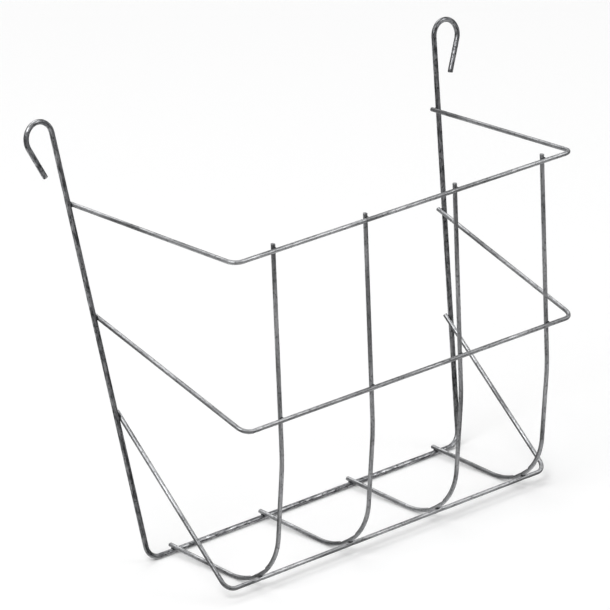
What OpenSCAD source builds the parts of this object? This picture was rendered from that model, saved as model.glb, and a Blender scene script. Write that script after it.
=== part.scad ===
// Wire hay rack that hangs in a small-animal cage by two hooks.
// Eight bent steel wires: a back frame, three hoops and four ribs, joined by resistance welds.
// Z is up, the ribs face -Y, and the origin is on the floor under the middle of the whole rack.
// The rack stands as it does on a table: on its rear rail and on the lowest points of its ribs.
// Up to the last step every y is measured from the rear rail.

/* [Wire] */
// Diameter of the back frame's wire
frame_d = 2.4; // [1.6:0.1:4]
// Diameter of the hoops' and ribs' wire
wire_d = 2; // [1.4:0.1:3.2]
// How deep crossing wires sink into each other when welded
set_down = 0.3; // [0.15:0.05:0.45]
// Radius of the flash squeezed out of a weld where the wires cross squarely
weld_r = 1.5; // [1.3:0.05:1.9]
// How much of the longer overlap of a slanting crossing is added to that radius
flash_spread = 0.4; // [0.3:0.05:1]
// Thickness of that flash
weld_t = 0.9; // [0.7:0.05:1.2]

/* [Back frame] */
// Length of the rear rail, corner to corner
rail_w = 190; // [170:1:240]
// Outward angle of each upright
splay = 5.4; // [0:0.1:10]
// How far the frame tips back when the rack stands
lean = 11.3; // [5:0.1:16]
// Bend radius at the two bottom corners
frame_bend = 7; // [5:0.5:12]
// Height of the hooks' tops, measured along an upright
hook_h = 200.4; // [184:0.1:240]
// Bend radius of a hook
hook_r = 7.2; // [6:0.1:12]
// How far a hook's free leg closes in on its upright
hook_close = 20; // [0:1:24]
// Straight length of a hook's free leg
hook_leg = 15.8; // [8:0.1:22]

/* [Hoops] */
// Height of the top hoop's welds along the uprights
top_weld = 160.3; // [140:0.1:164]
// Width of the top hoop at its front corners
top_w = 202; // [185:0.5:215]
// Reach of the top hoop's front rail before the rear rail
top_reach = 64; // [50:0.5:80]
// Height of the top hoop's front rail
top_z = 161; // [140:0.5:194]
// Height of the middle hoop's welds along the uprights
middle_weld = 111; // [92:0.5:134]
// Width of the middle hoop at its front corners
middle_w = 198; // [185:0.5:215]
// Reach of the middle hoop's front rail before the rear rail
middle_reach = 68.1; // [60:0.1:85]
// Height of the middle hoop's front rail
middle_z = 84; // [72:0.5:101]
// Height of the bottom hoop's welds along the uprights
bottom_weld = 63.2; // [50:0.1:75]
// Width of the bottom hoop at its front corners
bottom_w = 194.5; // [185:0.5:205]
// Bend radius of the hoops' corners
hoop_bend = 5; // [3:0.5:8]
// How far a hoop's ends stick out behind the uprights
hoop_end = 2.6; // [1.5:0.1:5]

/* [Ribs] */
// Distance from one rib to the next
rib_pitch = 53.7; // [45:0.1:56]
// How far a rib's top end stands above the top rail's centre
rib_top = 2.6; // [1.5:0.1:5]
// Height of the slight bend below the middle rail
knee_z = 64; // [54:0.5:70]
// Radius of that slight bend
knee_r = 110; // [60:5:130]
// Radius of the big bend at the foot of a rib
foot_r = 28.9; // [23:0.1:34]
// Distance from the rear rail forward to the foot's lowest point
foot_y = 36.3; // [30:0.1:38]
// Angle below level at which the bottom rail meets the foot
foot_weld_angle = 54; // [40:1:62]
// How far a rib's tail sticks out behind the rear rail's centre
rib_tail = 2.8; // [1.5:0.1:5]

/* [As made] */
// How much higher the top hoop is welded on the left upright than on the right one
top_skew = 9.7; // [0:0.1:12]
// The same for the middle hoop
middle_skew = 4.4; // [0:0.1:12]
// The same for the bottom hoop
bottom_skew = 8.5; // [0:0.1:12]
// How much higher the left hook stands than the right one
hook_skew = 9.4; // [0:0.1:12]
// Sideways shift of the four ribs
rib_shift = 3.3; // [-5:0.1:5]
// Angle by which the ribs' tails veer to the left
rib_toe = 2.5; // [0:0.1:5]

/* [Hidden] */
$fn = 48;
// Facets of a whole turn of bend in the preview mesh
sweep_steps = 180;
LEFT = -1;
RIGHT = 1;
RIBS = [0:3];
// A ball at each end of a bend keeps its neighbours one solid: it spans the gap between them,
// and its poles lie along the wire, out of sight
seam_gap = 0.05;
seam_proud = 0.015;
// Distance between the centres of two welded wires
thin_gap = wire_d - set_down;
thick_gap = (wire_d + frame_d) / 2 - set_down;
// The rails and the rib in side view, as [y, z] points
rear_rail = [0, frame_d / 2];
top_rail = [-top_reach, top_z];
middle_rail = [-middle_reach, middle_z];
rib_high = top_rail + [thin_gap, 0];
rib_mid = middle_rail + [thin_gap, 0];
rib_rear = rear_rail + [0, thick_gap];
foot_c = [-foot_y, wire_d / 2 + foot_r];
knee = on_line(rib_mid, rib_high, knee_z);
front_angle = heading(foot_c - knee) - asin(foot_r / norm(foot_c - knee));
tail_angle = heading(foot_c - rib_rear) + asin(foot_r / norm(foot_c - rib_rear));
heel = meet(knee, front_angle, rib_rear, tail_angle);
tail = rib_rear - rib_tail * [cos(tail_angle), sin(tail_angle)];
rib_side = [on_line(rib_mid, rib_high, top_z + rib_top), knee, heel, tail];
rib_radii = [0, knee_r, foot_r, 0];
// The bottom rail lies against the outside of the ribs' feet
bottom_rail = foot_c - (foot_r + thin_gap) * [cos(foot_weld_angle), sin(foot_weld_angle)];
// Each hoop as [height of its welds, difference between its two welds, width in front, rail]
TOP_HOOP = [top_weld, top_skew, top_w, top_rail];
MIDDLE_HOOP = [middle_weld, middle_skew, middle_w, middle_rail];
BOTTOM_HOOP = [bottom_weld, bottom_skew, bottom_w, bottom_rail];

// Placing the rear rail so that the origin is midway between the hooks' backs and the front rail
hook_top = hook_h + hook_skew / 2 + hook_r * (1 - cos(splay) - sin(splay));
back_reach = hook_top * sin(lean) + frame_d / 2;
front_reach = max(middle_reach, top_reach) + wire_d / 2;
rear_y = (front_reach - back_reach) / 2;

// ---- geometry ----

function unit(v) = v / norm(v);

function heading(v) = atan2(v[1], v[0]);

// Point at height z on the line from a to b, in side view
function on_line(a, b, z) = a + (b - a) * (z - a[1]) / (b[1] - a[1]);

// Where the line from p at angle a meets the line from q at angle b
function meet(p, a, q, b) =
    let (away = q - p)
    p + (away[0] * sin(b) - away[1] * cos(b)) / sin(b - a) * [cos(a), sin(a)];

// Point of an upright's centre line, s along it from the rear rail
function upright(side, s) =
    [side * (rail_w / 2 + s * tan(splay)), s * sin(lean), frame_d / 2 + s * cos(lean)];

// A hoop's weld point on the left or right upright
function welded(side, hoop) = upright(side, hoop[0] - side * hoop[1] / 2);

// A hoop's front corner on one side
function front(side, hoop) = [side * hoop[2] / 2, hoop[3][0], hoop[3][1]];

function rib_x(i) = rib_shift + (i - 1.5) * rib_pitch;

// A side-view point of rib i in space: the rib turns about its front leg
function rib_at(i, p) =
    let (back = p[0] - rib_mid[0])
    [rib_x(i) - back * sin(rib_toe), rib_mid[0] + back * cos(rib_toe), p[1]];

// ---- wire ----

module bar(a, b, d) {
    v = b - a;
    translate(a)
        rotate([0, acos(v[2] / norm(v)), atan2(v[1], v[0])])
            cylinder(d = d, h = norm(v));
}

// Bend of radius r at corner p, from direction u to direction v
module bend(p, u, v, r, d) {
    turn = acos(u * v);
    n = (v - u * cos(turn)) / sin(turn);
    k = cross(u, n);
    reach = r * tan(turn / 2);
    c = p - u * reach + n * r;
    gap = seam_gap / r * 180 / PI;
    multmatrix([[-n[0], u[0], k[0], c[0]], [-n[1], u[1], k[1], c[1]], [-n[2], u[2], k[2], c[2]]]) {
        rotate([0, 0, gap])
            rotate_extrude(angle = turn - 2 * gap, $fn = sweep_steps)
                translate([r, 0])
                    circle(d = d);
        for (a = [0, turn])
            rotate([0, 0, a])
                translate([r, 0, 0])
                    rotate([90, 0, 0])
                        sphere(d = d + 2 * seam_proud);
    }
}

// A wire through the corners in pts, each rounded to its radius in radii
module wire(pts, radii, d) {
    last = len(pts) - 1;
    dir = [for (i = [0:last - 1]) unit(pts[i + 1] - pts[i])];
    turn = [for (i = [1:last - 1]) acos(dir[i - 1] * dir[i])];
    used = [0, for (i = [1:last - 1]) radii[i] * tan(turn[i - 1] / 2) + seam_gap, 0];
    for (i = [0:last - 1])
        bar(pts[i] + dir[i] * used[i], pts[i + 1] - dir[i] * used[i + 1], d);
    for (i = [1:last - 1])
        bend(pts[i], dir[i - 1], dir[i], radii[i], d);
}

// Half width of the strip that a wire of diameter d leaves in the plane between two welded wires
function strip(d) = sqrt(pow(d / 2, 2) - pow((d - set_down) / 2, 2));

// How far from a weld's middle the strips of frame and hoop still overlap, at this crossing angle
function overlap(angle) =
    let (a = strip(frame_d), b = strip(wire_d))
    sqrt(a * a + b * b + 2 * a * b * cos(angle)) / sin(angle);

// Flash of one weld: a rounded button across the joint, later cut by both wires
module weld(at, normal, r) {
    translate(at)
        rotate([0, acos(normal[2]), atan2(normal[1], normal[0])])
            rotate_extrude() {
                translate([0, -weld_t / 2])
                    square([r - weld_t / 2, weld_t]);
                intersection() {
                    translate([r - weld_t / 2, 0])
                        circle(d = weld_t);
                    translate([0, -weld_t])
                        square([r, 2 * weld_t]);
                }
            }
}

// ---- whole wires, before any of them is notched ----

// Corners of one hook, from the point where it leaves its upright out to the free tip
function hook(side) =
    let (half = 90 + hook_close / 2,
         up = [side * sin(splay), cos(splay) * sin(lean), cos(splay) * cos(lean)],
         out = [side * cos(splay), -sin(splay) * sin(lean), -sin(splay) * cos(lean)],
         used = hook_r * tan(half / 2) + seam_gap,
         first = upright(side, hook_h - side * hook_skew / 2) + up * (used - hook_r),
         second = first + (2 * used + seam_gap) * (out * sin(half) + up * cos(half)),
         tip = second + (used + hook_leg) * (out * sin(2 * half) + up * cos(2 * half)))
    [first, second, tip];

module frame_wire() {
    l = hook(LEFT);
    r = hook(RIGHT);
    wire([l[2], l[1], l[0], upright(LEFT, 0), upright(RIGHT, 0), r[0], r[1], r[2]],
        [0, hook_r, hook_r, frame_bend, frame_bend, hook_r, hook_r, 0], frame_d);
}

// Centre of a hoop's arm where it crosses the inner side of an upright
function arm_at(side, hoop) = welded(side, hoop) - [side * thick_gap, 0, 0];

// Direction of a hoop's arm, from its front corner to the upright
function arm_way(side, hoop) = unit(arm_at(side, hoop) - front(side, hoop));

// Rear end of a hoop's arm, running on behind the upright
function arm_end(side, hoop) = arm_at(side, hoop) + hoop_end * arm_way(side, hoop);

// Angle at which a hoop's arm crosses its upright
function crossing(side, hoop) =
    acos(abs(arm_way(side, hoop) * unit(upright(side, 1) - upright(side, 0))));

module hoop_wire(hoop) {
    wire([arm_end(LEFT, hoop), front(LEFT, hoop), front(RIGHT, hoop), arm_end(RIGHT, hoop)],
        [0, hoop_bend, hoop_bend, 0], wire_d);
}

module top_hoop_wire() {
    hoop_wire(TOP_HOOP);
}

module middle_hoop_wire() {
    hoop_wire(MIDDLE_HOOP);
}

module bottom_hoop_wire() {
    hoop_wire(BOTTOM_HOOP);
}

module rib_wire(i) {
    wire([for (p = rib_side) rib_at(i, p)], rib_radii, wire_d);
}

// ---- pieces ----

// Colours a piece and moves it from the rear rail's own place to the object's origin
module finished(tint) {
    color(tint)
        translate([0, rear_y, 0])
            children();
}

module back_frame() {
    finished("dimgray")
        frame_wire();
}

// A hoop's arms are notched where they sink into the uprights
module notched_hoop() {
    finished("darkgray")
        difference() {
            children();
            frame_wire();
        }
}

module top_hoop() {
    notched_hoop() top_hoop_wire();
}

module middle_hoop() {
    notched_hoop() middle_hoop_wire();
}

module bottom_hoop() {
    notched_hoop() bottom_hoop_wire();
}

// A rib is notched where it sinks into the three front rails and the rear rail
module rib(i) {
    finished("gray")
        difference() {
            rib_wire(i);
            top_hoop_wire();
            middle_hoop_wire();
            bottom_hoop_wire();
            frame_wire();
        }
}

// One weld on each rib, between the rib and the rail wire given as a child
module rail_welds(rib_point, rail, rail_d, normal) {
    finished("darkslategray")
        difference() {
            for (i = RIBS)
                weld([rib_at(i, rib_point)[0], rail[0], rail[1]] +
                    normal * (rail_d - set_down) / 2, normal, weld_r);
            children();
            for (i = RIBS)
                rib_wire(i);
        }
}

module top_rail_welds() {
    rail_welds(rib_high, top_rail, wire_d, [0, 1, 0])
        top_hoop_wire();
}

module middle_rail_welds() {
    rail_welds(rib_mid, middle_rail, wire_d, [0, 1, 0])
        middle_hoop_wire();
}

module bottom_rail_welds() {
    normal = [0, cos(foot_weld_angle), sin(foot_weld_angle)];
    rail_welds(bottom_rail, bottom_rail, wire_d, normal)
        bottom_hoop_wire();
}

module rear_rail_welds() {
    rail_welds(rib_rear, rear_rail, frame_d, [0, 0, 1])
        frame_wire();
}

// The welds of the three hoops on one upright
module upright_welds(side) {
    normal = [-side, 0, 0];
    finished("darkslategray")
        difference() {
            for (hoop = [TOP_HOOP, MIDDLE_HOOP, BOTTOM_HOOP])
                weld(welded(side, hoop) + normal * (frame_d - set_down) / 2, normal,
                    weld_r + flash_spread * (overlap(crossing(side, hoop)) - overlap(90)));
            frame_wire();
            top_hoop_wire();
            middle_hoop_wire();
            bottom_hoop_wire();
        }
}

back_frame();
top_hoop();
middle_hoop();
bottom_hoop();
rib(0);  // rib_1
rib(1);  // rib_2
rib(2);  // rib_3
rib(3);  // rib_4
top_rail_welds();
middle_rail_welds();
bottom_rail_welds();
rear_rail_welds();
upright_welds(LEFT);  // left_upright_welds
upright_welds(RIGHT);  // right_upright_welds
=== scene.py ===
"""Looks of a welded wire hay rack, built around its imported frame.

The rack is eight bent wires and twenty-two resistance welds. Each wire is swept ring by ring along
its own centre line, and each weld is the metal squeezed out where two wires were pressed together.
Lengths are in millimetres until a mesh is finished.
"""

import logging
import math
from dataclasses import dataclass, field, replace
from enum import Enum

import bmesh
import bpy
from mathutils import Matrix, Vector, noise

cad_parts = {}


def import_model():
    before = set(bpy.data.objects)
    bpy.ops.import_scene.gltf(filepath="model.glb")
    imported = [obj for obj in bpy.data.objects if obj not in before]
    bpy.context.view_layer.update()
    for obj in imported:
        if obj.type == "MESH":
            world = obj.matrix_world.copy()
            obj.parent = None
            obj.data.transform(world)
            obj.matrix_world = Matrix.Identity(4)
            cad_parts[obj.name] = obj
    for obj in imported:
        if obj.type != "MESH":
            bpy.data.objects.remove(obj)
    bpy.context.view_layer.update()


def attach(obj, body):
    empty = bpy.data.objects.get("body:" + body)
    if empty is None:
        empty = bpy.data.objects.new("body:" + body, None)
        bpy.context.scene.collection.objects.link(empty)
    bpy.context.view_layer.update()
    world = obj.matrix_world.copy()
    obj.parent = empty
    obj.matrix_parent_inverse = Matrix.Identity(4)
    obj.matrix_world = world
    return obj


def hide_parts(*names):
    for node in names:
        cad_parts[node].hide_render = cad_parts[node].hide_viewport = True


log = logging.getLogger("hay_rack")

MM = 0.001
WAY_LAYER = "drawn"
HEAT_LAYER = "heat"


class Side(Enum):
    """Which upright, seen from the front. The value is its sign along X."""

    LEFT = -1
    RIGHT = 1


class Slot(Enum):
    """The record's material slots."""

    FRAME = "frame_wire"
    THIN = "thin_wire"
    WELD = "weld_flash"


# ---- colour and shader nodes ----


def linear(hex_colour: str) -> tuple[float, float, float, float]:
    """Turns an sRGB hex colour into the linear colour that a shader takes.

    Args:
        hex_colour: Six hex digits, such as "c8c9cb".

    Returns:
        Linear red, green and blue, and an alpha of 1.
    """
    parts = [int(hex_colour[i:i + 2], 16) / 255 for i in (0, 2, 4)]
    low = [c / 12.92 if c <= 0.04045 else ((c + 0.055) / 1.055) ** 2.4 for c in parts]
    return (low[0], low[1], low[2], 1.0)


def add_node(tree: bpy.types.NodeTree, kind: str, settings: dict | None = None,
             inputs: dict | None = None) -> bpy.types.Node:
    """Adds a shader node with its settings and links.

    Args:
        tree: The node tree that takes it.
        kind: The node's type name.
        settings: Properties of the node itself.
        inputs: For each input, by name or number, a value or the output socket that feeds it.

    Returns:
        The new node.
    """
    node = tree.nodes.new(kind)
    for key, value in (settings or {}).items():
        setattr(node, key, value)
    for key, value in (inputs or {}).items():
        if isinstance(value, bpy.types.NodeSocket):
            tree.links.new(value, node.inputs[key])
        else:
            node.inputs[key].default_value = value
    return node


def ramp(tree: bpy.types.NodeTree, source: bpy.types.NodeSocket,
         stops: list[tuple[float, tuple[float, float, float, float]]]) -> bpy.types.NodeSocket:
    """Adds a colour ramp.

    Args:
        tree: The node tree that takes it.
        source: What the ramp reads.
        stops: The place and the linear colour of each stop, in order.

    Returns:
        The ramp's colour output.
    """
    node = add_node(tree, "ShaderNodeValToRGB", inputs={0: source})
    band = node.color_ramp.elements
    while len(band) < len(stops):
        band.new(0.5)
    for element, (place, colour) in zip(band, stops):
        element.position = place
        element.color = colour
    return node.outputs["Color"]


# ---- finishes ----


@dataclass(frozen=True)
class PlatedWire:
    """Zinc-plated drawn steel wire.

    Drawing through a die leaves fine lines along the wire, and barrel plating lays zinc over them in
    patches, so it looks mottled along its length and has soft, stretched highlights.
    """

    name: str
    dark: str
    mid: str
    light: str
    roughness: float
    roughness_spread: float
    patch_mm: tuple[float, float]
    patch_share: float
    shade: float  # how dark the plating gets where it is thinnest, as a share of its own colour
    fleck: float  # how dark a fleck is, likewise
    shade_mm: tuple[float, float] = (34.0, 2.2)
    fleck_mm: tuple[float, float] = (1.5, 0.8)  # real flecks are finer, drawn coarse to show
    line_mm: tuple[float, float] = (14.0, 0.32)  # length and width of a die line, drawn coarse to show
    line_depth_mm: float = 0.035
    scorched: str = "1b1b1d"

    def stretched(self, tree: bpy.types.NodeTree, way: bpy.types.NodeSocket,
                  size: tuple[float, float], detail: float) -> bpy.types.NodeSocket:
        """A noise with one size along the wire and another across it.

        Args:
            tree: The node tree that takes it.
            way: Coordinates along and across the wire, in millimetres.
            size: Length and width of the noise's features, in millimetres.
            detail: How many finer layers the noise has.

        Returns:
            The noise's factor.
        """
        scale = (1 / size[0], 1 / size[1], 1 / size[1])
        flat = add_node(tree, "ShaderNodeMapping", {"vector_type": "POINT"},
                        {"Vector": way, "Scale": scale})
        made = add_node(tree, "ShaderNodeTexNoise", inputs={"Vector": flat.outputs[0], "Scale": 1.0,
                                                           "Detail": detail, "Roughness": 0.6})
        return made.outputs["Fac"]

    def make(self) -> bpy.types.Material:
        """Makes the material.

        Returns:
            The material, ready for a wire that has the layers of its length and of its heat.
        """
        material = bpy.data.materials.new(self.name)
        material.use_nodes = True
        tree = material.node_tree
        tree.nodes.clear()
        way = add_node(tree, "ShaderNodeAttribute", {"attribute_name": WAY_LAYER}).outputs["Vector"]
        heat = add_node(tree, "ShaderNodeAttribute", {"attribute_name": HEAT_LAYER}).outputs["Fac"]
        patches = self.stretched(tree, way, self.patch_mm, 3.0)
        lines = self.stretched(tree, way, self.line_mm, 2.0)
        thin = self.stretched(tree, way, self.shade_mm, 1.0)
        flecks = self.stretched(tree, way, self.fleck_mm, 1.0)
        both = add_node(tree, "ShaderNodeMix", {"data_type": "FLOAT"},
                        {0: self.patch_share, 2: lines, 3: patches}).outputs[0]
        zinc = ramp(tree, both, [(0.36, linear(self.dark)), (0.48, linear(self.mid)),
                                 (0.62, linear(self.light))])
        worn = zinc
        for source, dark, low, high in ((thin, self.shade, 0.38, 0.56), (flecks, self.fleck, 0.34, 0.44)):
            shade = ramp(tree, source, [(low, (dark, dark, dark, 1)), (high, (1, 1, 1, 1))])
            worn = add_node(tree, "ShaderNodeMix", {"data_type": "RGBA", "blend_type": "MULTIPLY"},
                            {0: 1.0, 6: worn, 7: shade}).outputs[2]
        burnt = add_node(tree, "ShaderNodeMix", {"data_type": "RGBA"},
                         {0: heat, 6: worn, 7: linear(self.scorched)}).outputs[2]
        gloss = add_node(tree, "ShaderNodeMapRange", inputs={
            "Value": both, "From Min": 0.35, "From Max": 0.65,
            "To Min": self.roughness + self.roughness_spread, "To Max": self.roughness})
        relief = add_node(tree, "ShaderNodeBump", inputs={
            "Height": both, "Strength": 0.5, "Distance": self.line_depth_mm * MM})
        shader = add_node(tree, "ShaderNodeBsdfPrincipled", inputs={
            "Base Color": burnt, "Metallic": 1.0, "Roughness": gloss.outputs[0],
            "Normal": relief.outputs[0]})
        add_node(tree, "ShaderNodeOutputMaterial", inputs={"Surface": shader.outputs[0]})
        return material


@dataclass(frozen=True)
class WeldFlash:
    """Steel squeezed hot out of a resistance weld, scorched, then thinly plated: dark and grainy."""

    name: str = "scorched_weld_flash"
    dark: str = "161617"
    light: str = "5e5f61"
    grain_mm: float = 0.5
    roughness: float = 0.48

    def make(self) -> bpy.types.Material:
        """Makes the material.

        Returns:
            The material.
        """
        material = bpy.data.materials.new(self.name)
        material.use_nodes = True
        tree = material.node_tree
        tree.nodes.clear()
        place = add_node(tree, "ShaderNodeTexCoord").outputs["Object"]
        grain = add_node(tree, "ShaderNodeTexNoise", inputs={
            "Vector": place, "Scale": 1 / (self.grain_mm * MM), "Detail": 3.0}).outputs["Fac"]
        scale = ramp(tree, grain, [(0.35, linear(self.dark)), (0.68, linear(self.light))])
        relief = add_node(tree, "ShaderNodeBump", inputs={
            "Height": grain, "Strength": 0.7, "Distance": 0.08 * MM})
        shader = add_node(tree, "ShaderNodeBsdfPrincipled", inputs={
            "Base Color": scale, "Metallic": 0.85, "Roughness": self.roughness,
            "Normal": relief.outputs[0]})
        add_node(tree, "ShaderNodeOutputMaterial", inputs={"Surface": shader.outputs[0]})
        return material


@dataclass(frozen=True)
class StudioPaper:
    """Matt white background paper: bright and without a gloss."""

    name: str = "white_background_paper"
    colour: str = "f4f4f4"

    def make(self) -> bpy.types.Material:
        """Makes the material.

        Returns:
            The material.
        """
        material = bpy.data.materials.new(self.name)
        material.use_nodes = True
        shader = material.node_tree.nodes["Principled BSDF"]
        shader.inputs["Base Color"].default_value = linear(self.colour)
        shader.inputs["Roughness"].default_value = 0.95
        shader.inputs["Specular IOR Level"].default_value = 0.0
        return material


FRAME_FINISH = PlatedWire("zinc_plated_frame_wire", "343537", "8a8b8e", "d8d9db", 0.24, 0.2,
                          (4.5, 1.3), 0.58, 0.7, 0.32)
THIN_FINISH = PlatedWire("zinc_plated_thin_wire", "929395", "b4b5b7", "d4d5d7", 0.34, 0.12,
                         (6.0, 1.5), 0.5, 0.5, 0.55)


# ---- welds ----


@dataclass(frozen=True)
class Crossing:
    """A place where two wires are pressed into each other and welded.

    Attributes:
        first: The point on the first wire's centre line.
        second: The point on the second wire's centre line, straight across the joint.
        first_radius: Radius of the first wire.
        second_radius: Radius of the second wire.
        spread: How much further the flash spreads here than where wires cross squarely.
    """

    first: Vector
    second: Vector
    first_radius: float
    second_radius: float
    spread: float = 0.0

    @property
    def normal(self) -> Vector:
        """Direction across the joint, from the first wire to the second."""
        return (self.second - self.first).normalized()

    @property
    def middle(self) -> Vector:
        """The middle of the joint, halfway through the metal that both wires share."""
        gap = (self.second - self.first).length
        return self.first + self.normal * (gap + self.first_radius - self.second_radius) / 2


@dataclass
class Welds:
    """The flash of a row of welds: rounded buttons with an uneven rim."""

    name: str
    crossings: list[Crossing]
    radius: float = 1.5
    thickness: float = 0.9
    profile_steps: int = 6
    turn_steps: int = 28
    unevenness: float = 0.16
    rim_frequency: float = 1.1
    rim_step: float = 7.3

    def button(self, bm: bmesh.types.BMesh, crossing: Crossing, number: int) -> None:
        """Adds one button.

        Args:
            bm: The mesh that takes it.
            crossing: Where it is.
            number: Which weld of the row it is, so that no two rims are alike.
        """
        half = self.thickness / 2
        rim = self.radius + crossing.spread - half
        shape = [Vector((0, 0, -half))]
        for step in range(self.profile_steps + 1):
            angle = math.pi * (step / self.profile_steps - 0.5)
            shape.append(Vector((rim + half * math.cos(angle), 0, half * math.sin(angle))))
        shape.append(Vector((0, 0, half)))
        start = [bm.verts.new(point) for point in shape]
        edges = [bm.edges.new(pair) for pair in zip(start, start[1:])]
        bmesh.ops.spin(bm, geom=start + edges, cent=(0, 0, 0), axis=(0, 0, 1), angle=math.tau,
                       steps=self.turn_steps, use_merge=True, use_duplicate=False)
        made = [v for v in bm.verts if not v.tag]
        bmesh.ops.remove_doubles(bm, verts=made, dist=0.001)
        made = [v for v in bm.verts if not v.tag]
        facing = crossing.normal.to_track_quat("Z", "Y").to_matrix().to_4x4()
        place = Matrix.Translation(crossing.middle) @ facing
        for vert in made:
            spot = vert.co * self.rim_frequency + Vector((number * self.rim_step, 2.1, 0))
            swell = 1 - self.unevenness * (0.5 + noise.noise(spot))
            vert.co = Vector((vert.co.x * swell, vert.co.y * swell, vert.co.z))
            vert.tag = True
        bmesh.ops.transform(bm, matrix=place, verts=made)

    def build(self) -> bpy.types.Object:
        """Builds the row of welds.

        Returns:
            The finished object.
        """
        bm = bmesh.new()
        for number, crossing in enumerate(self.crossings):
            self.button(bm, crossing, number)
        return finished(bm, self.name)


# ---- wires ----


@dataclass
class Wire:
    """A round wire swept along straight legs and round bends, with sheared ends.

    Attributes:
        name: The piece's name.
        corners: The corners of its centre line.
        radii: The bend radius at each corner; the two ends have 0.
        diameter: The wire's diameter.
        crossings: The welds on it, which scorch it and press a small flat into its far side.
        coil_mm: Where on the coil it was cut from, so that no two wires are marked alike.
    """

    name: str
    corners: list[Vector]
    radii: list[float]
    diameter: float
    crossings: list[Crossing] = field(default_factory=list)
    coil_mm: float = 0.0
    sides: int = 28
    leg_step: float = 1.6
    bend_step: float = 0.7
    least_turns: int = 16
    cut_rounding: float = 0.16
    cut_tilt: float = 7.0
    cut_profile: tuple[tuple[float, float], ...] = ((0.6, 0.975), (1.0, 0.9))
    burr_width: float = 0.12
    burr_depth: float = 0.05
    flat: float = 0.12
    flat_reach: float = 1.7
    scorch_reach: float = 2.7
    scorch_gain: float = 1.5
    weld_zone: float = 6.0

    def step(self, bm: bmesh.types.BMesh, ring: list[bmesh.types.BMEdge], move: Matrix,
             travel: float) -> list[bmesh.types.BMEdge]:
        """Carries the open end one ring further.

        Args:
            bm: The wire's mesh.
            ring: The edges of the open end.
            move: How the new ring lies from the old one.
            travel: Distance between them along the centre line.

        Returns:
            The edges of the new open end.
        """
        made = bmesh.ops.extrude_edge_only(bm, edges=ring)["geom"]
        verts = [part for part in made if isinstance(part, bmesh.types.BMVert)]
        new = set(verts)
        bmesh.ops.transform(bm, matrix=move, verts=verts)
        way = bm.verts.layers.float_vector[WAY_LAYER]
        for vert in verts:
            vert[way] = vert[way] + Vector((travel, 0, 0))
        return [part for part in made
                if isinstance(part, bmesh.types.BMEdge) and new.issuperset(part.verts)]

    def cut(self, bm: bmesh.types.BMesh, ring: list[bmesh.types.BMEdge], at: Vector,
            out: Vector) -> None:
        """Closes an open end as a shear leaves it: a rolled edge and a slightly slanted face.

        Args:
            bm: The wire's mesh.
            ring: The edges of the open end.
            at: The centre of the open end.
            out: Direction out of the wire.
        """
        slant = out.orthogonal().normalized()
        for share, grow in self.cut_profile:
            smaller = Matrix.Diagonal((grow,) * 3).to_4x4()
            shrink = Matrix.Translation(at) @ smaller @ Matrix.Translation(-at)
            shift = Matrix.Translation(out * self.cut_rounding * share / 2)
            ring = self.step(bm, ring, shift @ shrink, self.cut_rounding * share / 2)
        verts = list({vert for edge in ring for vert in edge.verts})
        tilt = Matrix.Rotation(math.radians(self.cut_tilt), 4, slant)
        bmesh.ops.transform(bm, matrix=tilt, space=Matrix.Translation(-at), verts=verts)
        face = bmesh.ops.edgeloop_fill(bm, edges=ring)["faces"]
        bmesh.ops.inset_region(bm, faces=face, thickness=self.diameter * self.burr_width,
                               depth=-self.burr_depth, use_even_offset=True)

    def sweep(self, bm: bmesh.types.BMesh) -> None:
        """Sweeps the wire's section along its centre line.

        Args:
            bm: The mesh that takes it.
        """
        last = len(self.corners) - 1
        legs = [(b - a).normalized() for a, b in zip(self.corners, self.corners[1:])]
        turns = [0.0] + [legs[i - 1].angle(legs[i]) for i in range(1, last)] + [0.0]
        used = [radius * math.tan(turn / 2) for radius, turn in zip(self.radii, turns)]
        inset = self.cut_rounding
        at = self.corners[0] + legs[0] * inset
        section = legs[0].to_track_quat("Z", "Y").to_matrix().to_4x4()
        way = bm.verts.layers.float_vector.new(WAY_LAYER)
        bm.verts.layers.float.new(HEAT_LAYER)
        first = bmesh.ops.create_circle(bm, segments=self.sides, radius=self.diameter / 2)["verts"]
        for vert in first:
            vert[way] = Vector((self.coil_mm + inset, vert.co.x, vert.co.y))
        bmesh.ops.transform(bm, matrix=Matrix.Translation(at) @ section, verts=first)
        start = list(bm.edges)
        ring = start
        for i, leg in enumerate(legs):
            ends = (used[i] + (inset if i == 0 else 0), used[i + 1] + (inset if i == last - 1 else 0))
            length = (self.corners[i + 1] - self.corners[i]).length - sum(ends)
            count = max(1, round(length / self.leg_step))
            for _ in range(count):
                ring = self.step(bm, ring, Matrix.Translation(leg * length / count), length / count)
            at = self.corners[i] + leg * (ends[0] + length)
            if i < last - 1:
                turn, radius = turns[i + 1], self.radii[i + 1]
                axis = leg.cross(legs[i + 1]).normalized()
                centre = at + axis.cross(leg) * radius
                count = max(2, self.least_turns if turn > 1 else 2, round(radius * turn / self.bend_step))
                spun = (Matrix.Translation(centre) @ Matrix.Rotation(turn / count, 4, axis)
                        @ Matrix.Translation(-centre))
                for _ in range(count):
                    ring = self.step(bm, ring, spun, radius * turn / count)
        self.cut(bm, ring, at, legs[-1])
        self.cut(bm, start, self.corners[0] + legs[0] * inset, -legs[0])

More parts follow.
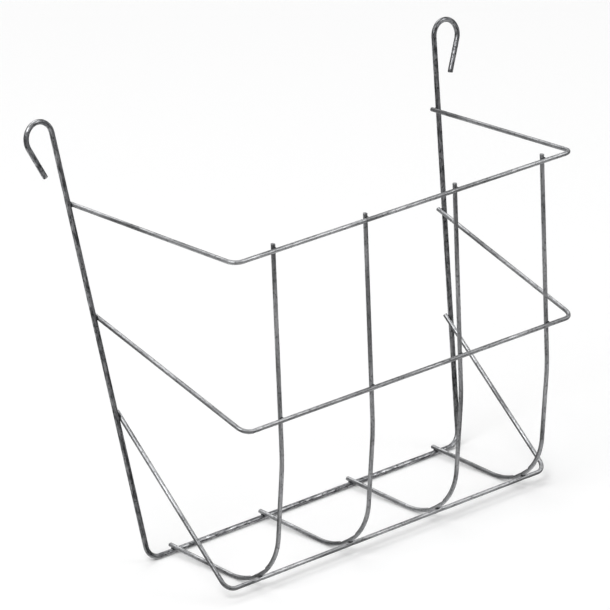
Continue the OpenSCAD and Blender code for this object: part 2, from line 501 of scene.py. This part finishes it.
    def mark(self, bm: bmesh.types.BMesh) -> None:
        """Presses the electrodes' flats into the wire and scorches it around each weld.

        Args:
            bm: The wire's mesh.
        """
        heat = bm.verts.layers.float[HEAT_LAYER]
        for crossing in self.crossings:
            outer = -crossing.normal
            for vert in bm.verts:
                away = vert.co - crossing.first
                if away.length > self.weld_zone:
                    continue
                high = away.dot(outer)
                along = (away - outer * high).length
                limit = self.diameter / 2 - self.flat * max(0.0, 1 - (along / self.flat_reach) ** 2)
                if high > limit:
                    vert.co -= outer * (high - limit)
                near = max(0.0, 1 - (vert.co - crossing.middle).length / self.scorch_reach)
                vert[heat] = max(vert[heat], min(1.0, near * self.scorch_gain))

    def build(self) -> bpy.types.Object:
        """Builds the wire.

        Returns:
            The finished object.
        """
        bm = bmesh.new()
        self.sweep(bm)
        self.mark(bm)
        bmesh.ops.recalc_face_normals(bm, faces=bm.faces)
        return finished(bm, self.name)


def finished(bm: bmesh.types.BMesh, name: str) -> bpy.types.Object:
    """Turns a mesh in millimetres into a smooth-shaded object in the frame's metres.

    Args:
        bm: The mesh, which is used up.
        name: The piece's name.

    Returns:
        The object, at the origin, unturned and unscaled.
    """
    bmesh.ops.recalc_face_normals(bm, faces=bm.faces)
    bmesh.ops.scale(bm, vec=(MM,) * 3, verts=bm.verts)
    for face in bm.faces:
        face.smooth = len(face.verts) == 4
    mesh = bpy.data.meshes.new(name)
    bm.to_mesh(mesh)
    bm.free()
    piece = bpy.data.objects.new(name, mesh)
    bpy.context.scene.collection.objects.link(piece)
    return piece


def dress(piece: bpy.types.Object, material: bpy.types.Material, node: str) -> None:
    """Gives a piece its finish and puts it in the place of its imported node.

    Args:
        piece: The finished piece.
        material: Its finish.
        node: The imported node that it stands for.
    """
    piece.data.materials.append(material)
    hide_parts(node)
    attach(piece, "root")
    log.info("%s: %d faces, stands for %s", piece.name, len(piece.data.polygons), node)


# ---- sub-assemblies ----


@dataclass
class BackFrame:
    """The thick wire: rear rail, two uprights that lean back and spread, and the two hooks."""

    diameter: float = 2.4
    rail: float = 190.0
    splay: float = math.radians(5.4)
    lean: float = math.radians(11.3)
    corner_bend: float = 7.0
    hook_height: float = 200.4
    hook_bend: float = 7.2
    hook_close: float = math.radians(20)
    hook_leg: float = 15.8
    hook_skew: float = 9.4
    seam: float = 0.05

    def upright(self, side: Side, along: float) -> Vector:
        """A point of an upright's centre line.

        Args:
            side: Which upright.
            along: Its distance from the rear rail.

        Returns:
            The point, with y measured from the rear rail.
        """
        return Vector((side.value * (self.rail / 2 + along * math.tan(self.splay)),
                       along * math.sin(self.lean), self.diameter / 2 + along * math.cos(self.lean)))

    def hook(self, side: Side) -> list[Vector]:
        """The corners of one hook.

        Args:
            side: Which upright carries it.

        Returns:
            Two corners of the bend and the free tip.
        """
        half = math.pi / 2 + self.hook_close / 2
        up = Vector((side.value * math.sin(self.splay), math.cos(self.splay) * math.sin(self.lean),
                     math.cos(self.splay) * math.cos(self.lean)))
        out = Vector((side.value * math.cos(self.splay), -math.sin(self.splay) * math.sin(self.lean),
                      -math.sin(self.splay) * math.cos(self.lean)))
        used = self.hook_bend * math.tan(half / 2) + self.seam
        top = self.upright(side, self.hook_height - side.value * self.hook_skew / 2)
        first = top + up * (used - self.hook_bend)
        second = first + (2 * used + self.seam) * (out * math.sin(half) + up * math.cos(half))
        tip = second + (used + self.hook_leg) * (out * math.sin(2 * half) + up * math.cos(2 * half))
        return [first, second, tip]

    def corners(self) -> list[Vector]:
        """The corners of the whole wire, from the left hook's tip to the right one's."""
        feet = [self.upright(Side.LEFT, 0), self.upright(Side.RIGHT, 0)]
        return self.hook(Side.LEFT)[::-1] + feet + self.hook(Side.RIGHT)

    def radii(self) -> list[float]:
        """The bend radius at each corner."""
        return [0, self.hook_bend, self.hook_bend, self.corner_bend, self.corner_bend,
                self.hook_bend, self.hook_bend, 0]

    @property
    def back_reach(self) -> float:
        """How far the hooks' backs stand behind the rear rail."""
        rise = self.hook_bend * (1 - math.cos(self.splay) - math.sin(self.splay))
        high = self.hook_height + self.hook_skew / 2 + rise
        return high * math.sin(self.lean) + self.diameter / 2


@dataclass
class Hoop:
    """A U of thin wire: a front rail with an arm back to each upright."""

    name: str
    back: BackFrame
    weld_height: float
    skew: float
    width: float
    rail: Vector
    diameter: float = 2.0
    bend: float = 5.0
    end: float = 2.6
    set_down: float = 0.3
    flash_spread: float = 0.4

    def front(self, side: Side) -> Vector:
        """The front corner on one side."""
        return Vector((side.value * self.width / 2, self.rail[0], self.rail[1]))

    def joint(self, side: Side) -> Crossing:
        """The weld of one arm on its upright.

        Args:
            side: Which arm.

        Returns:
            The crossing, with the upright first.
        """
        post = self.back.upright(side, self.weld_height - side.value * self.skew / 2)
        gap = (self.diameter + self.back.diameter) / 2 - self.set_down
        at = post - Vector((side.value * gap, 0, 0))
        upright = self.back.upright(side, 1) - self.back.upright(side, 0)
        angle = upright.angle(at - self.front(side))
        spread = self.flash_spread * (self.overlap(min(angle, math.pi - angle)) - self.overlap(math.pi / 2))
        return Crossing(post, at, self.back.diameter / 2, self.diameter / 2, spread)

    def overlap(self, angle: float) -> float:
        """How far from a weld's middle the two wires' strips of contact still overlap.

        Args:
            angle: The angle at which the wires cross.

        Returns:
            The distance in millimetres.
        """
        frame, thin = (math.sqrt((d / 2) ** 2 - ((d - self.set_down) / 2) ** 2)
                       for d in (self.back.diameter, self.diameter))
        return math.sqrt(frame ** 2 + thin ** 2 + 2 * frame * thin * math.cos(angle)) / math.sin(angle)

    def corners(self) -> list[Vector]:
        """The wire's corners, from the end of the left arm to the end of the right one."""
        points = []
        for side in Side:
            at = self.joint(side).second
            tail = at + (at - self.front(side)).normalized() * self.end
            points.append([tail, self.front(side)])
        return points[0] + points[1][::-1]


@dataclass
class Ribs:
    """Four J-shaped ribs, from above the top rail down, under the hay and back over the rear rail."""

    rear: Vector
    top: Vector
    middle: Vector
    diameter: float = 2.0
    thick_diameter: float = 2.4
    set_down: float = 0.3
    pitch: float = 53.7
    shift: float = 3.3
    toe: float = math.radians(2.5)
    top_end: float = 2.6
    knee_height: float = 64.0
    knee_bend: float = 110.0
    foot_bend: float = 28.9
    foot_reach: float = 36.3
    foot_weld: float = math.radians(54)
    tail_end: float = 2.8
    count: int = 4

    def __post_init__(self) -> None:
        """Works out the rib's side view, as (y, z) points."""
        self.thin_gap = self.diameter - self.set_down
        self.high = self.top + Vector((self.thin_gap, 0))
        self.mid = self.middle + Vector((self.thin_gap, 0))
        thick_gap = (self.diameter + self.thick_diameter) / 2 - self.set_down
        self.low = self.rear + Vector((0, thick_gap))
        self.foot = Vector((-self.foot_reach, self.diameter / 2 + self.foot_bend))
        self.knee = self.on_leg(self.knee_height)

    def on_leg(self, height: float) -> Vector:
        """The point of the rib's upper leg at a height."""
        share = (height - self.mid[1]) / (self.high[1] - self.mid[1])
        return self.mid + (self.high - self.mid) * share

    def side_view(self) -> list[Vector]:
        """The rib's corners in side view: top end, knee, heel and tail.

        Returns:
            Four (y, z) points.
        """
        to_foot, to_rear = self.foot - self.knee, self.foot - self.low
        front = math.atan2(to_foot[1], to_foot[0]) - math.asin(self.foot_bend / to_foot.length)
        rear = math.atan2(to_rear[1], to_rear[0]) + math.asin(self.foot_bend / to_rear.length)
        away = self.low - self.knee
        share = (away[0] * math.sin(rear) - away[1] * math.cos(rear)) / math.sin(rear - front)
        heel = self.knee + share * Vector((math.cos(front), math.sin(front)))
        tail = self.low - self.tail_end * Vector((math.cos(rear), math.sin(rear)))
        return [self.on_leg(self.top[1] + self.top_end), self.knee, heel, tail]

    def radii(self) -> list[float]:
        """The bend radius at each corner."""
        return [0, self.knee_bend, self.foot_bend, 0]

    @property
    def bottom_rail(self) -> Vector:
        """Side-view place of the bottom rail, which lies against the outside of the ribs' feet."""
        way = Vector((math.cos(self.foot_weld), math.sin(self.foot_weld)))
        return self.foot - (self.foot_bend + self.thin_gap) * way

    def place(self, number: int, point: Vector) -> Vector:
        """Puts a side-view point on one rib, which turns about its front leg.

        Args:
            number: The rib, counted from the left and from 0.
            point: The (y, z) point.

        Returns:
            The point in space.
        """
        back = point[0] - self.mid[0]
        across = self.shift + (number - (self.count - 1) / 2) * self.pitch
        return Vector((across - back * math.sin(self.toe),
                       self.mid[0] + back * math.cos(self.toe), point[1]))

    def joint(self, number: int, rib_point: Vector, rail: Vector, rail_diameter: float) -> Crossing:
        """The weld of a rib on a rail.

        Args:
            number: The rib.
            rib_point: The (y, z) point of the rib's centre line there.
            rail: The rail's (y, z) place.
            rail_diameter: The rail's diameter.

        Returns:
            The crossing, with the rail first.
        """
        on_rib = self.place(number, rib_point)
        on_rail = Vector((on_rib.x, rail[0], rail[1]))
        gap = (rail_diameter + self.diameter) / 2 - self.set_down
        across = Vector((0, rib_point[0] - rail[0], rib_point[1] - rail[1])).normalized()
        return Crossing(on_rail, on_rail + across * gap, rail_diameter / 2, self.diameter / 2)


def turned(crossing: Crossing) -> Crossing:
    """The same crossing, told from its second wire."""
    return Crossing(crossing.second, crossing.first, crossing.second_radius, crossing.first_radius,
                    crossing.spread)


@dataclass
class Rack:
    """The whole rack: it places the wires and finds where they cross."""

    back: BackFrame = field(default_factory=BackFrame)
    top_rail: Vector = field(default_factory=lambda: Vector((-64.0, 161.0)))
    middle_rail: Vector = field(default_factory=lambda: Vector((-68.1, 84.0)))
    top_weld: float = 160.3
    middle_weld: float = 111.0
    bottom_weld: float = 63.2
    top_skew: float = 9.7
    middle_skew: float = 4.4
    bottom_skew: float = 8.5
    top_width: float = 202.0
    middle_width: float = 198.0
    bottom_width: float = 194.5
    coil_step_mm: float = 613.0

    def __post_init__(self) -> None:
        """Builds the parts that need each other's places."""
        rear_rail = Vector((0, self.back.diameter / 2))
        self.ribs = Ribs(rear_rail, self.top_rail, self.middle_rail)
        self.hoops = [
            Hoop("top_hoop", self.back, self.top_weld, self.top_skew, self.top_width, self.top_rail),
            Hoop("middle_hoop", self.back, self.middle_weld, self.middle_skew, self.middle_width,
                 self.middle_rail),
            Hoop("bottom_hoop", self.back, self.bottom_weld, self.bottom_skew, self.bottom_width,
                 self.ribs.bottom_rail),
        ]
        ribs, thin, thick = self.ribs, self.ribs.diameter, self.back.diameter
        rows = {
            "top_rail_welds": (ribs.high, self.top_rail, thin),
            "middle_rail_welds": (ribs.mid, self.middle_rail, thin),
            "bottom_rail_welds": (self.foot_point(), ribs.bottom_rail, thin),
            "rear_rail_welds": (ribs.low, rear_rail, thick),
        }
        self.rail_rows = {name: [ribs.joint(i, *row) for i in range(ribs.count)]
                          for name, row in rows.items()}
        self.upright_rows = {f"{side.name.lower()}_upright_welds": [hoop.joint(side) for hoop in self.hoops]
                             for side in Side}
        front = max(-self.top_rail[0], -self.middle_rail[0]) + thin / 2
        self.to_origin = Vector((0, (front - self.back.back_reach) / 2, 0))

    def foot_point(self) -> Vector:
        """The (y, z) point of a rib's foot where the bottom rail meets it."""
        way = Vector((math.cos(self.ribs.foot_weld), math.sin(self.ribs.foot_weld)))
        return self.ribs.foot - self.ribs.foot_bend * way

    def moved(self, crossings: list[Crossing]) -> list[Crossing]:
        """Crossings moved from the rear rail's own place to the object's origin."""
        return [replace(c, first=c.first + self.to_origin, second=c.second + self.to_origin)
                for c in crossings]

    def wires(self) -> list[tuple[Wire, Slot]]:
        """Lays out the eight wires.

        Returns:
            Each wire with its material slot.
        """
        rows = self.rail_rows
        uprights = [c for row in self.upright_rows.values() for c in row]
        made = [(Wire("back_frame", self.back.corners(), self.back.radii(), self.back.diameter,
                      uprights + rows["rear_rail_welds"]), Slot.FRAME)]
        for hoop, row in zip(self.hoops, ("top_rail_welds", "middle_rail_welds", "bottom_rail_welds")):
            arms = [turned(hoop.joint(side)) for side in Side]
            made.append((Wire(hoop.name, hoop.corners(), [0, hoop.bend, hoop.bend, 0], hoop.diameter,
                              arms + rows[row]), Slot.THIN))
        for i in range(self.ribs.count):
            corners = [self.ribs.place(i, point) for point in self.ribs.side_view()]
            made.append((Wire(f"rib_{i + 1}", corners, self.ribs.radii(), self.ribs.diameter,
                              [turned(row[i]) for row in rows.values()]), Slot.THIN))
        for number, (wire, _) in enumerate(made):
            wire.coil_mm = number * self.coil_step_mm
            wire.corners = [corner + self.to_origin for corner in wire.corners]
            wire.crossings = self.moved(wire.crossings)
        return made

    def build(self) -> None:
        """Builds and dresses every piece."""
        finishes = {Slot.FRAME: FRAME_FINISH.make(), Slot.THIN: THIN_FINISH.make(),
                    Slot.WELD: WeldFlash().make()}
        for wire, slot in self.wires():
            node = wire.name
            wire.name = node + "_wire"
            dress(wire.build(), finishes[slot], node)
        for node, row in {**self.rail_rows, **self.upright_rows}.items():
            flash = Welds(node + "_flash", self.moved(row))
            dress(flash.build(), finishes[Slot.WELD], node)


# ---- studio ----


@dataclass
class Softbox:
    """A large soft light, aimed at the middle of the rack.

    Attributes:
        name: The light's name.
        place: Where it stands, in metres.
        size: Width and height in metres.
        power: Power in watts.
    """

    name: str
    place: tuple[float, float, float]
    size: tuple[float, float]
    power: float
    target: tuple[float, float, float] = (0.0, 0.0, 0.1)

    def build(self) -> None:
        """Adds the light."""
        data = bpy.data.lights.new(self.name, "AREA")
        data.shape = "RECTANGLE"
        data.size, data.size_y = self.size
        data.energy = self.power
        lamp = bpy.data.objects.new(self.name, data)
        lamp.location = self.place
        lamp.rotation_euler = (Vector(self.target) - Vector(self.place)).to_track_quat("-Z", "Y").to_euler()
        bpy.context.scene.collection.objects.link(lamp)


@dataclass
class Studio:
    """White paper floor, soft lights and the camera."""

    floor_size: float = 16.0
    backdrop_grey: float = 0.95
    # Brightness of the room at each height of the sky, from -1 straight down to 1 straight up
    room: tuple[tuple[float, float], ...] = (
        (-1.0, 0.7), (-0.5, 0.62), (-0.3, 0.42), (-0.16, 0.26),
        (0.0, 0.2), (0.25, 0.38), (0.6, 0.6), (1.0, 0.65))
    camera_place: tuple[float, float, float] = (-1.56169, -1.67318, 1.01848)
    camera_azimuth: float = math.radians(-42.763)
    camera_elevation: float = math.radians(21.86)
    lens: float = 328.8
    sensor: float = 36.0
    boxes: list[Softbox] = field(default_factory=lambda: [
        Softbox("key_softbox", (-1.6, -0.5, 2.2), (1.4, 1.4), 34),
        Softbox("fill_softbox", (1.6, -1.4, 1.6), (1.2, 1.6), 12),
        Softbox("rear_softbox", (0.6, 1.6, 2.6), (2.4, 1.4), 20),
    ])

    def surroundings(self) -> None:
        """Lights the room: bright below and above, dim around, with a plain pale backdrop."""
        world = bpy.data.worlds.new("soft_room")
        world.use_nodes = True
        tree = world.node_tree
        tree.nodes.clear()
        way = add_node(tree, "ShaderNodeTexCoord").outputs["Generated"]
        height = add_node(tree, "ShaderNodeSeparateXYZ", inputs={0: way}).outputs["Z"]
        share = add_node(tree, "ShaderNodeMapRange",
                         inputs={"Value": height, "From Min": -1.0, "From Max": 1.0})
        grey = ramp(tree, share.outputs[0], [((z + 1) / 2, (b, b, b, 1)) for z, b in self.room])
        room = add_node(tree, "ShaderNodeBackground", inputs={"Color": grey})
        pale = add_node(tree, "ShaderNodeBackground", inputs={"Color": (self.backdrop_grey,) * 3 + (1,)})
        seen = add_node(tree, "ShaderNodeLightPath").outputs["Is Camera Ray"]
        both = add_node(tree, "ShaderNodeMixShader",
                        inputs={0: seen, 1: room.outputs[0], 2: pale.outputs[0]})
        add_node(tree, "ShaderNodeOutputWorld", inputs={"Surface": both.outputs[0]})
        bpy.context.scene.world = world

    def floor(self) -> None:
        """Lays the paper, its faces wide enough to reach past every view."""
        bm = bmesh.new()
        bmesh.ops.create_grid(bm, x_segments=1, y_segments=1, size=self.floor_size / 2)
        mesh = bpy.data.meshes.new("paper_floor")
        bm.to_mesh(mesh)
        bm.free()
        paper = bpy.data.objects.new("paper_floor", mesh)
        paper.data.materials.append(StudioPaper().make())
        paper.visible_glossy = False
        bpy.context.scene.collection.objects.link(paper)

    def camera(self) -> None:
        """Sets up the camera."""
        data = bpy.data.cameras.new("camera")
        data.lens, data.sensor_width = self.lens, self.sensor
        data.clip_end = 50
        camera = bpy.data.objects.new("camera", data)
        camera.location = self.camera_place
        camera.rotation_euler = (math.pi / 2 - self.camera_elevation, 0, self.camera_azimuth)
        bpy.context.scene.collection.objects.link(camera)
        bpy.context.scene.camera = camera

    def build(self) -> None:
        """Builds the studio."""
        self.surroundings()
        bpy.context.scene.view_settings.view_transform = "Standard"
        self.floor()
        self.camera()
        for box in self.boxes:
            box.build()


def corners(box: tuple[Vector, Vector]) -> list[list[float]]:
    """A box's two corners as plain lists of numbers."""
    return [[float(c) for c in corner] for corner in box]


def main() -> None:
    """Builds the rack around its frame, in order: studio, wires, welds."""
    logging.basicConfig(level=logging.INFO, format="%(name)s: %(message)s")
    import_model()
    Studio().build()
    Rack().build()


if __name__ == "__main__":
    main()
